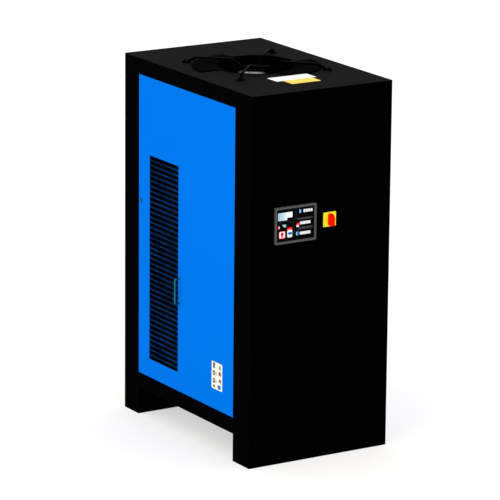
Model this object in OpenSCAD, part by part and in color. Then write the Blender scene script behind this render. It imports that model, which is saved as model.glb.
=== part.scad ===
// Refrigerated compressed-air dryer: a floor-standing sheet-metal cabinet with a condenser behind
// a slotted side panel, an exhaust fan hung in the top, and the refrigeration circuit inside.
// Millimetres. +Z is up, the front faces -Y, and the origin is on the floor under the centre.

/* [Cabinet] */
// Width of the cabinet, side to side
cab_w = 675; // [650:5:720]
// Depth of the cabinet, front to back
cab_d = 1023; // [1000:1:1060]
// Height of the cabinet, floor to top sheet
cab_h = 1560; // [1540:5:1640]
// Thickness of the cabinet's sheet metal
sheet = 2; // [1.5:0.5:2.5]
// Depth of the front posts, seen from the side
front_post = 128; // [120:1:136]
// Depth of the rear posts, seen from the side
rear_post = 120.5; // [116:0.5:136]
// Width of the post flanges that turn inwards
post_lip = 87; // [80:1:95]
// Height of the band round the top, and of the rail along each side of the base
band = 68; // [60:1:76]
// Clear height under the base, between the feet
foot_h = 118; // [110:1:125]
// Gap left between neighbouring panels
seam = 1.5; // [1:0.25:2]
// Outside radius of the sheet-metal bends
bend_r = 3; // [2.5:0.5:5]

/* [Air intake] */
// Number of slots in the left panel
slot_count = 40; // [30:1:42]
// Height of one slot
slot_h = 17; // [12:1:17]
// Width of the slots, end to end
slot_w = 241; // [200:1:250]
// Height of the lowest slot's centre above the floor
slot_z = 276; // [270:1:300]
// Distance from one slot to the next
slot_pitch = 22.4; // [22:0.1:22.8]
// Distance of the slots' middle behind the cabinet's centre
slot_y = 182; // [170:1:190]

/* [Fan] */
// Inside radius of the fan's venturi ring
ring_r = 153; // [150:1:156]
// Height of the ring above the top sheet
ring_rise = 16; // [12:1:16]
// Number of blades
blade_count = 5; // [3:1:7]
// Setting angle of the blades
blade_pitch = 27; // [20:1:32]
// Radius of the blade tips
blade_r = 147; // [140:1:148]
// Distance of the guard's feet from the fan's axis
arm_reach = 300; // [290:1:305]

/* [Controls] */
// Width of the controller's bezel
bezel_w = 199; // [190:1:205]
// Height of the controller's bezel
bezel_h = 154; // [148:1:160]
// Height of the controller's middle above the floor
control_z = 1012.5; // [1000:0.5:1040]
// Side of the main switch's square plate
switch_side = 60; // [58:1:68]
// Distance that the switch's handle stands out from the front
switch_out = 31; // [28:1:36]
// Travel of a controller key
key_travel = 0.8; // [0.5:0.1:1]

/* [Hidden] */

$fn = 48;
eps = 0.5;                              // how far a cut runs past the face it opens
x_side = cab_w / 2;
y_front = -cab_d / 2;
y_rear = cab_d / 2;
z_band = cab_h - band;                  // lower edge of the top band
z_floor = foot_h + 3;                   // top of the base's floor sheet
y_open0 = y_front + front_post;         // the side openings run from here
y_open1 = y_rear - rear_post;           // to here
z_open0 = foot_h + band;                // and from here up to the top band
rear_out = switch_out;                  // the ports stand out behind as far as the switch does in front

rail_lip = 25;                          // flange along the top of a base rail
anchor_x = 230;                         // anchor holes in the feet
anchor_y = 450;
anchor_r = 7;

panel_fold = 22;                        // depth of a side panel's folded edges
lock_y = y_open1 - 16;                  // quarter-turn lock, at the panel's rear edge
lock_z = 948;
lock_x = x_side - 26;                   // outer face of the keeper tabs behind the panels
cam_r = 6.5;                            // round root of the lock's cam
lock_gap = 0.6;                         // from a keeper tab to the cam behind it
handle_y = 55.5;                        // pull handle
handle_z = 624;
handle_span = 108;
handle_out = 23;
handle_rod = 3.5;

hub_drop = 20;                          // underside of the guard's hub, below the top sheet
hub_r = 62;
arm_t = 6;
arm_clear = 18.5;                       // lower edge of the arms above the top sheet
arm_bend = 96;                          // from here in, the arms run down to the hub
wire_r = 2;
pad_l = 36;
pad_w = 27;
pad_t = 8;
bolt_hole_r = 3.3;
wing_r = 270;
plate_y = -232;                         // rear edge of the caution plate
stator_r = 45;
rotor_r = 60;
rotor_in = 50;
rotor_z0 = cab_h - 116;                 // lowest face of the rotor
shaft_r = 6;
run_gap = 0.05;                         // running clearance on a radius

control_x = -128.5;
bezel_out = 7;
overlay_w = bezel_w - 19;
overlay_h = bezel_h - 19;
overlay_back = 2.5;                     // the overlay sits this far behind the bezel's face
switch_x = 38;
switch_z = 1011.5;
plate_t = 3.5;
grip_w = 17;
grip_h = 48;

comp_x = 110;                           // compressor
comp_y = 230;
comp_r = 92;
comp_pitch = 170;
comp_z0 = z_floor + 25;
coil_x0 = -300;                         // condenser
coil_t = 55;
coil_y0 = 45;
coil_w = 275;
coil_z0 = 245;
coil_h = 940;
exch_x = 10;                            // heat exchanger
exch_y = -200;
exch_w = 380;
exch_d = 270;
exch_z0 = 420;
exch_h = 700;
port_x = 140;                           // air ports at the back
port_z = 1250;
port_bore = 28.3;
pipe_r = 30;
line_y = 368;                           // the copper lines turn in this plane, clear of the rear posts
line_top = 1173;
drain_z = 235;
tube_x = 236;                           // condensate tube to the back
tube_z = 215;
valve_x = 150;
unit_x = 282;                           // drain unit

black = "#161618";
blue = "#0a7cf0";
steel = "#b9bdc1";
copper = "#b8693a";

// ---------------------------------------------------------------- shared shapes

// A rectangle with rounded corners, centred on the origin
module rounded(w, h, r) {
  square([w - 2 * r, h], center = true);
  square([w, h - 2 * r], center = true);
  for (i = [-1, 1], j = [-1, 1]) translate([i * (w / 2 - r), j * (h / 2 - r)]) circle(r);
}

// A slot with round ends, centred on the origin, its long way along X
module slot(w, h) {
  square([w - h, h], center = true);
  for (i = [-1, 1]) translate([i * (w / 2 - h / 2), 0]) circle(h / 2);
}

// A box given by its lowest and highest corners
module span(a, b) { translate(a) cube(b - a); }

// A plate that faces -Y: a flat outline in X and Z, from y0 to y1
module facing(y0, y1) { translate([0, y1, 0]) rotate([90, 0, 0]) linear_extrude(y1 - y0) children(); }

// A plate that faces -X: a flat outline in Y and Z, from x0 to x1
module sideways(x0, x1) { translate([x0, 0, 0]) rotate([90, 0, 90]) linear_extrude(x1 - x0) children(); }

// A round bar between two points
module bar(a, b, r) {
  d = b - a;
  flat = norm([d.x, d.y]);
  translate(a) rotate([0, atan2(flat, d.z), atan2(d.y, d.x)]) cylinder(h = norm(d), r = r);
}

// A tube with ball-shaped elbows through a list of points
module run(points, r) {
  for (i = [0 : len(points) - 2]) bar(points[i], points[i + 1], r);
  for (i = [1 : len(points) - 2]) translate(points[i]) sphere(r);
}

// A closed vessel standing on Z, with domed ends
module vessel(r, h, dome) {
  rotate_extrude() {
    translate([0, dome]) square([r, h - 2 * dome]);
    intersection() {
      for (z = [dome, h - dome]) translate([0, z]) scale([r / dome, 1]) circle(dome);
      square([r, h]);
    }
  }
}

// ---------------------------------------------------------------- casing

// A wide channel seen from above: the face lies on Y = 0 and both edges turn in
module post_profile(depth) {
  difference() {
    union() {
      translate([0, depth / 2]) rounded(cab_w, depth, bend_r);
      translate([-x_side, depth / 2]) square([cab_w, depth / 2]);
    }
    translate([sheet - x_side, sheet]) square([cab_w - 2 * sheet, depth - 2 * sheet]);
    translate([post_lip - x_side, depth - sheet - eps]) square([cab_w - 2 * post_lip, sheet + 2 * eps]);
  }
}

module front_cover() {
  color(black) difference() {
    translate([0, y_front, 0]) linear_extrude(z_band - seam) post_profile(front_post);
    facing(y_front - eps, y_front + sheet + eps) {
      translate([control_x, control_z]) rounded(overlay_w + 6, overlay_h + 6, 2);
      translate([switch_x, switch_z]) circle(12);
      for (i = [-1, 1], j = [-1, 1]) translate([switch_x + i * 24, switch_z + j * 24]) circle(2.2);
    }
  }
}

module rear_cover() {
  color(black) difference() {
    translate([0, y_rear, 0]) mirror([0, 1, 0]) linear_extrude(z_band - seam)
      post_profile(rear_post);
    facing(y_rear - sheet - eps, y_rear + eps) {
      for (i = [-1, 1]) translate([i * port_x, port_z]) circle(pipe_r + 2);
      translate([tube_x, tube_z]) circle(9);
      translate([-tube_x, tube_z]) circle(10.5);
    }
  }
}

// Tabs welded to the rear posts' lips; a lock's cam turns in behind its tab
module lock_keepers() {
  color(black) for (i = [0, 1]) mirror([i, 0, 0])
    span([-lock_x, lock_y + cam_r + 1.5, lock_z - 30], [-lock_x + sheet, y_open1, lock_z + 30]);
}

module top_cover() {
  color(black) difference() {
    translate([0, 0, z_band]) linear_extrude(band) rounded(cab_w, cab_d, bend_r);
    translate([0, 0, z_band - eps]) linear_extrude(band - sheet + eps)
      rounded(cab_w - 2 * sheet, cab_d - 2 * sheet, bend_r - sheet);
    translate([0, 0, cab_h - sheet - eps]) cylinder(h = sheet + 2 * eps, r = ring_r + 6);
    guard_bolt_places() cylinder(h = 20, r = bolt_hole_r, center = true);
  }
}

// Places its children where the guard's four feet are bolted, on the top sheet
module guard_bolt_places() {
  for (a = [45 : 90 : 315]) rotate(a) translate([arm_reach + pad_l / 4, 0, cab_h]) children();
}

module base_frame() {
  slim = x_side - post_lip - 0.5;
  color(black) difference() {
    union() {
      translate([0, y_front, 0]) foot_channel(front_post);
      translate([0, y_rear, 0]) mirror([0, 1, 0]) foot_channel(rear_post);
      // floor sheet, with a tongue over each foot beam
      span([-x_side, y_open0 + eps, foot_h], [x_side, y_open1 - eps, z_floor]);
      span([-slim, y_front + sheet + 1, foot_h], [slim, y_rear - sheet - 1, z_floor]);
      // side rails with their top flanges
      for (s = [-1, 1]) mirror([s > 0 ? 1 : 0, 0, 0]) {
        span([-x_side, y_open0 + eps, foot_h], [-x_side + sheet, y_open1 - eps, z_open0]);
        span([-x_side, y_open0 + eps, z_open0 - sheet], [-x_side + rail_lip, y_open1 - eps, z_open0]);
      }
    }
    for (i = [-1, 1], j = [-1, 1])
      translate([comp_x + i * comp_pitch / 2, comp_y + j * comp_pitch / 2, foot_h - eps])
        cylinder(h = 5, r = 5.5);
  }
}

// A foot beam, face towards Y = 0: bottom and top flanges, and the web that shows under the base
module foot_channel(depth) {
  wide = x_side - sheet - 1;
  slim = x_side - post_lip - 0.5;
  y0 = sheet + 1;
  y1 = depth - sheet - 1;
  difference() {
    union() {
      span([-wide, y0, 0], [wide, y1, 4]);
      span([-wide, y0, foot_h - 3], [wide, y1, foot_h]);
      span([-slim, y1 - eps, 0], [slim, depth, foot_h]);
      for (x = [-wide, -anchor_x / 2, anchor_x / 2, wide - 4]) span([x, y0, 0], [x + 4, y1, foot_h]);
    }
    for (s = [-1, 1])
      translate([s * anchor_x, cab_d / 2 - anchor_y, -eps]) cylinder(h = 5, r = anchor_r);
  }
}

// A side panel for the left of the cabinet: a shallow tray with folded edges
module panel_tray() {
  y0 = y_open0 + seam;
  y1 = y_open1 - seam;
  z0 = z_open0 + seam;
  z1 = z_band - seam;
  difference() {
    span([-x_side, y0, z0], [-x_side + panel_fold, y1, z1]);
    span([-x_side + sheet, y0 + sheet, z0 + sheet], [-x_side + panel_fold + eps, y1 - sheet, z1 - sheet]);
    translate([-x_side - eps, lock_y, lock_z]) rotate([0, 90, 0]) cylinder(h = sheet + 2 * eps, r = 4.05);
    for (j = [-1, 1])
      translate([-x_side - eps, handle_y, handle_z + j * handle_span / 2])
        rotate([0, 90, 0]) cylinder(h = sheet + 2 * eps, r = 2.6);
  }
}

module side_panel_left() {
  color(blue) difference() {
    panel_tray();
    sideways(-x_side - eps, -x_side + sheet + eps)
      for (i = [0 : slot_count - 1]) translate([slot_y, slot_z + i * slot_pitch]) slot(slot_w, slot_h);
  }
}

module side_panel_right() { color(blue) mirror([1, 0, 0]) panel_tray(); }

// A bow handle for the left panel: a bent rod on two collars
module bow_handle() {
  bend = 9;
  top = handle_span / 2;
  out = -x_side - handle_out + handle_rod;
  translate([0, handle_y, handle_z]) {
    bar([out, 0, bend - top], [out, 0, top - bend], handle_rod);
    for (j = [-1, 1]) mirror([0, 0, j > 0 ? 1 : 0]) {
      translate([out + bend, 0, bend - top]) rotate([90, 0, 0]) rotate([0, 0, 180])
        rotate_extrude(angle = 90) translate([bend, 0]) circle(handle_rod, $fn = 32);
      bar([out + bend, 0, -top], [-x_side - 3, 0, -top], handle_rod);
      translate([-x_side - 3, 0, -top]) rotate([0, 90, 0]) cylinder(h = 3, r = 5.2);
      translate([-x_side - 3, 0, -top]) rotate([0, 90, 0]) cylinder(h = 12, r = 2.5);
    }
  }
}

module panel_handle_left() { color("#5b6a70") bow_handle(); }
module panel_handle_right() { color("#5b6a70") mirror([1, 0, 0]) bow_handle(); }

// A quarter-turn lock for the left panel: slotted head outside, stud through the panel, and a cam
// that points up while the lock is open
module quarter_turn() {
  cam_x = x_side - lock_x + sheet + lock_gap;
  head_r = 8.5;
  head_t = 4.5;
  stud_r = 4;
  translate([-x_side, lock_y, lock_z]) rotate([0, 90, 0]) {
    difference() {
      translate([0, 0, -head_t]) cylinder(h = head_t - 0.3, r1 = head_r - 1, r2 = head_r);
      translate([0, 0, -head_t]) cube([2.4, 13, 3], center = true);
    }
    translate([0, 0, -eps]) cylinder(h = cam_x + 6, r = stud_r);
    translate([0, 0, cam_x]) linear_extrude(3) {
      circle(cam_r);
      translate([-12.5, -stud_r]) square([12.5, 2 * stud_r]);
    }
  }
}

module panel_lock_left() { color(steel) quarter_turn(); }
module panel_lock_right() { color(steel) mirror([1, 0, 0]) quarter_turn(); }

// Button-head screws along the top band and down the front posts
module cover_screws() {
  color(black) for (s = [-1, 1]) mirror([s > 0 ? 1 : 0, 0, 0]) {
    for (y = [-430, -145, 145, 430]) side_screw(y, cab_h - band / 2);
    for (z = [60, 520, 980, 1440], y = [y_front + front_post / 2, y_rear - rear_post / 2]) side_screw(y, z);
  }
}

// One button-head screw on the left side
module side_screw(y, z) {
  translate([-x_side, y, z]) rotate([0, -90, 0]) rotate_extrude() difference() {
    intersection() {
      translate([0, -5]) circle(8, $fn = 32);
      square([5.5, 4]);
    }
    translate([-eps, 1.6]) square([1.6 + eps, 3]);
  }
}

// ---------------------------------------------------------------- fan

// Sheet ring round the blades, with two quarter-round wings that lie on the top sheet
module fan_ring() {
  color(black) difference() {
    union() {
      translate([0, 0, cab_h]) linear_extrude(4) {
        circle(ring_r + 14);
        intersection() {
          circle(wing_r);
          union() {
            rotate(90) square(wing_r);
            translate([0, plate_y + 4]) square([wing_r, -plate_y - 4]);
          }
        }
      }
      translate([0, 0, cab_h]) rotate_extrude() {
        translate([ring_r, -82]) square([sheet, 82 + ring_rise - 2]);
        translate([ring_r + 2, ring_rise - 2.4]) circle(2.4, $fn = 32);
      }
    }
    translate([0, 0, cab_h - eps]) cylinder(h = 4 + 2 * eps, r = ring_r);
  }
}

// One arm of the guard, seen from the side, from its foot to the hub
module arm_profile() {
  polygon([
    [arm_reach, 2], [arm_reach, pad_t + 2], [arm_reach - 38, 28], [104, 28], [hub_r - 8, -6],
    [hub_r - 8, 2 - hub_drop], [hub_r + 4, 2 - hub_drop], [arm_bend, arm_clear], [arm_reach - 44, arm_clear],
    [arm_reach - 16, 3]
  ]);
}

module fan_guard() {
  color(black) translate([0, 0, cab_h]) {
    for (a = [45 : 90 : 315]) rotate(a) {
      translate([0, arm_t / 2, 0]) rotate([90, 0, 0]) linear_extrude(arm_t) arm_profile();
      difference() {
        translate([arm_reach, 0, 0]) linear_extrude(pad_t) rounded(pad_l, pad_w, 6);
        translate([arm_reach + pad_l / 4, 0, -eps]) cylinder(h = pad_t + 2 * eps, r = bolt_hole_r);
      }
    }
    difference() {
      translate([0, 0, -hub_drop]) cylinder(h = 16, r = hub_r);
      translate([0, 0, -hub_drop - eps]) cylinder(h = 16 + 2 * eps, r = 22);
    }
  }
}

module guard_wires() {
  color(black) translate([0, 0, cab_h]) for (r = [78, 92, 108, 124, 140]) guard_wire(r);
}

// One wire ring of the guard, laid against the lower edges of the arms
module guard_wire(r) {
  slope = (arm_clear + hub_drop - 2) / (arm_bend - hub_r - 4);
  under = r < arm_bend ? (arm_bend - r) * slope + (wire_r + 0.1) * sqrt(1 + slope * slope) : wire_r + 0.1;
  translate([0, 0, arm_clear - under]) rotate_extrude() translate([r, 0]) circle(wire_r, $fn = 24);
}

module guard_bolts() {
  color(steel) guard_bolt_places() translate([0, 0, pad_t]) {
    cylinder(h = 1.2, r = 6.5);
    translate([0, 0, 1.2]) cylinder(h = 4, r = 5.5, $fn = 6);
    translate([0, 0, -16]) cylinder(h = 17, r = 3);
  }
}

module fan_motor() {
  color("#3a3c40") translate([0, 0, cab_h - hub_drop]) difference() {
    union() {
      translate([0, 0, -84]) cylinder(h = 80, r = stator_r);
      translate([0, 0, -4]) cylinder(h = 4, r = hub_r - 6);
      cylinder(h = 12, r = 21);
    }
    translate([0, 0, -84 - eps]) cylinder(h = 50, r = shaft_r + run_gap);
  }
}

// External rotor: a cup on the shaft, with cambered blades round it
module fan_rotor() {
  cup_h = 82;
  color("#2a2b2e") translate([0, 0, rotor_z0]) {
    difference() {
      cylinder(h = cup_h, r = rotor_r);
      translate([0, 0, 6]) cylinder(h = cup_h, r = rotor_in);
    }
    translate([0, 0, 5]) cylinder(h = 44, r = shaft_r);
    for (i = [0 : blade_count - 1]) rotate(i * 360 / blade_count) blade();
  }
}

// One blade: a curved sheet set at the pitch angle and trimmed by the hub and the tip circle
module blade() {
  camber = 130;
  intersection() {
    difference() {
      translate([0, 0, 5]) cylinder(h = 68, r = blade_r);
      cylinder(h = 90, r = rotor_r - 3);
    }
    rotate([blade_pitch, 0, 0]) translate([0, 0, 39 / cos(blade_pitch) - camber]) rotate([0, 90, 0])
      difference() {
        cylinder(h = blade_r + 10, r = camber);
        translate([0, 0, -eps]) cylinder(h = blade_r + 12, r = camber - 3);
      }
    translate([rotor_r - 10, -52, 0]) cube([blade_r, 104, 90]);
  }
}

// ---------------------------------------------------------------- controls

module controller_bezel() {
  color("#37383a") facing(y_front - bezel_out, y_front) translate([control_x, control_z]) difference() {
    rounded(bezel_w, bezel_h, 5);
    rounded(overlay_w, overlay_h, 3);
  }
}

// Outline of a key, grown by a gap
module key_outline(gap) { rounded(51 + 2 * gap, 12 + 2 * gap, 3 + gap); }

// Places its children at a key: row 1 is the upper one, row 0 the lower
module key_at(row) { translate([-82, row > 0 ? 1013.7 : 971]) children(); }

module controller_overlay() {
  y1 = y_front - bezel_out + overlay_back;
  color("#0c0c0e") facing(y1, y1 + 2) difference() {
    translate([control_x, control_z]) rounded(overlay_w - 0.6, overlay_h - 0.6, 3);
    for (row = [0, 1]) key_at(row) key_outline(0.3);
    display_at(0.3);
  }
}

// Outline of the display, grown by a gap: its lower right corner is cut away
module display_at(gap) {
  translate([-178, 1049.6]) difference() {
    square([69 + 2 * gap, 32.6 + 2 * gap], center = true);
    translate([9.4 + gap, -20 - gap]) square([40, 13.5]);
  }
}

module display_window() {
  y1 = y_front - bezel_out + overlay_back;
  color("#dfeef2") facing(y1 - 0.2, y1 + 2) display_at(0);
}

module key(row) {
  y1 = y_front - bezel_out + overlay_back;
  color("#f0f0ec") facing(y1 - 1.2, y1 + 2.4) key_at(row) key_outline(0);
}

module key_upper() { key(1); }
module key_lower() { key(0); }

module controller_case() {
  y0 = y_front - bezel_out + overlay_back + 2;
  color("#2b2c2e") difference() {
    union() {
      facing(y0, y_front + 1) translate([control_x, control_z]) rounded(overlay_w - 1, overlay_h - 1, 3);
      facing(y_front, y_front + 3) translate([control_x, control_z]) rounded(overlay_w + 4, overlay_h + 4, 2);
      facing(y_front + 2, y_front + 52) translate([control_x, control_z])
        rounded(overlay_w - 8, overlay_h - 8, 3);
    }
    facing(y0 - eps, y0 + 3) {
      for (row = [0, 1]) key_at(row) key_outline(0.3);
      display_at(0.3);
    }
  }
}

module switch_plate() {
  color("#f0e52c") facing(y_front - plate_t, y_front) translate([switch_x, switch_z]) difference() {
    rounded(switch_side, switch_side, 3);
    circle(9);
    for (i = [-1, 1], j = [-1, 1]) translate([i * 24, j * 24]) circle(2.2);
  }
}

// Bar grip with a rounded nose at its upper front edge, on a square spindle
module switch_handle() {
  face = -switch_out;
  root = -plate_t - 0.5;
  nose = 20;
  heel = 5;
  color("#ff1004") translate([switch_x, y_front, switch_z]) {
    sideways(-grip_w / 2, grip_w / 2) difference() {
      translate([face, -grip_h / 2]) square([root - face, grip_h]);
      translate([face, grip_h / 2 - nose]) difference() {
        translate([-eps, 0]) square([nose + eps, nose + eps]);
        translate([nose, 0]) circle(nose);
      }
      translate([face - eps, -grip_h / 2 - eps]) difference() {
        square([heel + eps, heel + eps]);
        translate([heel + eps, heel + eps]) circle(heel);
      }
    }
    rotate([-90, 0, 0]) translate([0, 0, root - eps]) cylinder(h = 34, r = 6);
  }
}

module switch_body() {
  color("#d8d8d2") difference() {
    union() {
      facing(y_front + sheet, y_front + 12) translate([switch_x, switch_z]) rounded(60, 60, 4);
      facing(y_front + 11, y_front + 62) translate([switch_x, switch_z]) rounded(50, 72, 3);
    }
    facing(y_front, y_front + 36) translate([switch_x, switch_z]) circle(6 + run_gap);
  }
}

// ---------------------------------------------------------------- electrics

// Back plate with folded edges, standing behind the controls
module electrical_plate() {
  color(steel) difference() {
    span([-225, -398, 1120], [225, -378, 1420]);
    span([-225 + sheet, -398 + sheet, 1120 + sheet], [225 - sheet, -378 + eps, 1420 - sheet]);
  }
}

module contactor() {
  color("#8f9296") for (i = [0, 1]) translate([i * 60, 0, 0]) {
    span([-180, -470, 1280], [-132, -404, 1362]);
    span([-176, -478, 1296], [-136, -469, 1346]);
    span([-178, -404.5, 1290], [-134, -398, 1352]);
  }
}

module terminal_rail() {
  color("#7f8a70") {
    span([-190, -405, 1190], [190, -398, 1225]);
    for (i = [0 : 11]) span([-96 + i * 16, -448, 1182], [-82 + i * 16, -404.5, 1233]);
  }
}

// Gland for the supply cable, in the rear panel
module cable_gland() {
  color(black) translate([-tube_x, y_rear, tube_z]) rotate([-90, 0, 0]) difference() {
    union() {
      cylinder(h = 6, r = 15, $fn = 6);
      translate([0, 0, -10]) cylinder(h = 16, r = 10);
      translate([0, 0, 5]) cylinder(h = 12, r = 11);
      translate([0, 0, 16]) cylinder(h = 12, r = 13.5, $fn = 6);
      translate([0, 0, -9]) cylinder(h = 7, r = 14, $fn = 6);
    }
    translate([0, 0, -12]) cylinder(h = 50, r = 6.5);
  }
}

// ---------------------------------------------------------------- refrigeration circuit

module compressor() {
  color("#1d1e21") translate([comp_x, comp_y, comp_z0]) {
    difference() {
      linear_extrude(4) rounded(comp_pitch + 46, comp_pitch + 46, 24);
      for (i = [-1, 1], j = [-1, 1])
        translate([i * comp_pitch / 2, j * comp_pitch / 2, -eps]) cylinder(h = 6, r = 9);
    }
    translate([0, 0, 3.5]) vessel(comp_r, 400, 45);
    translate([0, 0, 300]) cylinder(h = 10, r = comp_r + 4);
    translate([-comp_r + 5, 0, 350]) rotate([0, -90, 0]) cylinder(h = 20, r = 9);
    translate([comp_r - 5, 0, 290]) rotate([0, 90, 0]) cylinder(h = 20, r = 12);
  }
}

module compressor_mounts() {
  color("#111111") for (i = [-1, 1], j = [-1, 1])
    translate([comp_x + i * comp_pitch / 2, comp_y + j * comp_pitch / 2, z_floor]) rotate_extrude() {
      polygon([[5.6, 0], [19, 0], [16, 12], [19, 25], [5.6, 25]]);
      translate([5.6, 25]) square([3.1, 6]);
    }
}

module terminal_cover() {
  color("#26272a") translate([comp_x, comp_y - comp_r - 38, comp_z0 + 200]) difference() {
    span([-36, 0, 0], [36, 50, 90]);
    translate([0, comp_r + 38, -eps]) cylinder(h = 92, r = comp_r + 0.3);
  }
}

// Finned block between two end plates
module condenser_core() {
  fin = 3.2;
  gap = 6.4;
  count = floor(coil_h / (fin + gap));
  color("#1b1c1e") {
    span([coil_x0 + 6, coil_y0, coil_z0], [coil_x0 + coil_t - 6, coil_y0 + coil_w, coil_z0 + coil_h]);
    for (i = [0 : count - 1]) translate([0, 0, coil_z0 + i * (fin + gap) + gap / 2])
      span([coil_x0, coil_y0, 0], [coil_x0 + coil_t, coil_y0 + coil_w, fin]);
  }
}

// Return bends of the coil, at its front and rear ends
module condenser_bends() {
  bend = 19;
  rows = 11;
  pitch = 84;
  color(copper) for (i = [0 : rows - 1]) {
    translate([coil_x0 + coil_t / 2, coil_y0 + coil_w + 8, coil_z0 + 50 + i * pitch])
      rotate([90, 0, 90]) rotate([0, 0, -90])
        rotate_extrude(angle = 180) translate([bend, 0]) circle(5, $fn = 24);
    translate([coil_x0 + coil_t / 2, coil_y0 - 8, coil_z0 + 50 + pitch / 2 + i * pitch])
      rotate([90, 0, 90]) rotate([0, 0, 90])
        rotate_extrude(angle = 180) translate([bend, 0]) circle(5, $fn = 24);
  }
}

// Sheet frame that carries the coil
module condenser_frame() {
  wall = 2;
  x0 = coil_x0 - 4;
  x1 = coil_x0 + coil_t + 4;
  y1 = coil_y0 + coil_w;
  color(steel) {
    span([x0, coil_y0 - 8, z_floor], [x1, coil_y0 - 8 + wall, coil_z0 + coil_h + 10]);
    span([x0, y1 + 6, z_floor], [x1, y1 + 8, coil_z0 + coil_h + 10]);
    span([x0, coil_y0 - 8, coil_z0 - 4], [x1, y1 + 8, coil_z0 - 2]);
    span([x0, coil_y0 - 8, coil_z0 + coil_h + 8], [x1, y1 + 8, coil_z0 + coil_h + 10]);
    span([x0, coil_y0 - 30, z_floor], [x1, coil_y0 - 8 + wall, z_floor + wall]);
    span([x0, y1 + 6, z_floor], [x1, y1 + 30, z_floor + wall]);
  }
}

// Insulated exchanger module with its two air branches on top
module heat_exchanger() {
  color("#202124") {
    translate([exch_x, exch_y, exch_z0]) linear_extrude(exch_h) rounded(exch_w, exch_d, 25);
    for (z = [90, 350, 610]) translate([exch_x, exch_y, exch_z0 + z]) linear_extrude(20)
      rounded(exch_w + 3, exch_d + 3, 26.5);
  }
}

// Angle stand under the exchanger
module exchanger_stand() {
  leg = 22;
  x1 = exch_w / 2 - 15;
  y1 = exch_d / 2 - 15;
  h = exch_z0 - z_floor;
  color(steel) translate([exch_x, exch_y, z_floor]) {
    for (i = [0, 1], j = [0, 1]) mirror([i, 0, 0]) mirror([0, j, 0]) {
      span([x1 - leg, y1 - 3, 0], [x1, y1, h]);
      span([x1 - 3, y1 - leg, 0], [x1, y1, h]);
    }
    for (j = [0, 1]) mirror([0, j, 0]) span([-x1, y1 - leg, h - 3], [x1, y1, h]);
    for (i = [0, 1]) mirror([i, 0, 0]) span([x1 - leg, -y1, h - 3], [x1, y1, h]);
  }
}

// Condensate bowl under the exchanger
module separator() {
  color("#202124") translate([60, exch_y, exch_z0 - 110]) {
    vessel(62, 110, 24);
    translate([0, 0, -8]) cylinder(h = 20, r = 14);
    translate([0, 0, 60]) cylinder(h = 50, r = 62);
  }
}

// An air pipe from the exchanger's top to the rear panel, with swept elbow
module air_pipe(s) {
  z1 = exch_z0 + exch_h;
  bend = 60;
  x = s * port_x;
  translate([x, exch_y, z1]) cylinder(h = port_z - bend - z1, r = pipe_r);
  translate([x, exch_y, z1]) cylinder(h = 8, r = pipe_r + 14);
  translate([x, exch_y + bend, port_z - bend]) rotate([0, -90, 0]) rotate([0, 0, -90])
    rotate_extrude(angle = 90) translate([bend, 0]) circle(pipe_r);
  translate([x, exch_y + bend, port_z]) rotate([-90, 0, 0])
    cylinder(h = y_rear - 14 - exch_y - bend, r = pipe_r);
}

module air_inlet_pipe() { color("#6f7478") air_pipe(-1); }
module air_outlet_pipe() { color("#6f7478") air_pipe(1); }

// Threaded socket that stands out of the rear panel
module air_port(s) {
  translate([s * port_x, y_rear - 14, port_z]) rotate([-90, 0, 0]) difference() {
    union() {
      cylinder(h = 14 + rear_out, r = pipe_r + 1);
      translate([0, 0, 14]) cylinder(h = 5, r = pipe_r + 16);
      translate([0, 0, 18]) cylinder(h = rear_out - 4, r = pipe_r + 10, $fn = 8);
    }
    translate([0, 0, 11 + rear_out - 30]) cylinder(h = 40, r = port_bore);
  }
}

module air_inlet_port() { color("#8d9094") air_port(-1); }
module air_outlet_port() { color("#8d9094") air_port(1); }

module receiver() {
  color("#24262a") translate([-60, 330, 0]) {
    translate([0, 0, z_floor + 30]) vessel(50, 280, 20);
    translate([0, 0, z_floor]) cylinder(h = 40, r = 34);
    translate([20, 0, z_floor + 300]) cylinder(h = 22, r = 9);
  }
}

module filter_drier() {
  color("#3c6ea5") translate([-150, line_y, 300]) {
    translate([0, 0, 20]) vessel(28, 150, 16);
    cylinder(h = 190, r = 9);
  }
}

module hot_gas_valve() {
  color("#b08d3c") translate([-150, 60, 640]) {
    cylinder(h = 46, r = 14);
    translate([0, 0, 44]) cylinder(h = 26, r = 24);
    translate([0, 0, 69]) cylinder(h = 30, r = 10);
  }
}

module pressure_switch() {
  color("#2c2d30") translate([-150, 180, 700]) {
    span([-22, -30, 0], [22, 30, 78]);
    translate([0, 0, -18]) cylinder(h = 19, r = 9, $fn = 6);
  }
}

module discharge_line() {
  x0 = comp_x - comp_r - 15;
  color(copper) run([
    [x0, comp_y, comp_z0 + 350], [-20, comp_y, comp_z0 + 350], [-20, comp_y, line_top],
    [-20, line_y, line_top], [coil_x0 + coil_t / 2, line_y, line_top], [coil_x0 + coil_t / 2, 330, line_top]
  ], 7);
}

module liquid_line() {
  color(copper) run([
    [coil_x0 + coil_t / 2, 330, 262], [coil_x0 + coil_t / 2, line_y, 262], [-150, line_y, 262],
    [-150, line_y, 300]
  ], 6);
}

module suction_line() {
  x0 = comp_x + comp_r + 15;
  color(copper) run([
    [x0, comp_y, comp_z0 + 290], [x0 + 25, comp_y, comp_z0 + 290], [x0 + 25, comp_y, 900],
    [x0 + 25, exch_y, 900], [exch_x + exch_w / 2, exch_y, 900]
  ], 9);
}

// ---------------------------------------------------------------- condensate drain

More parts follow.
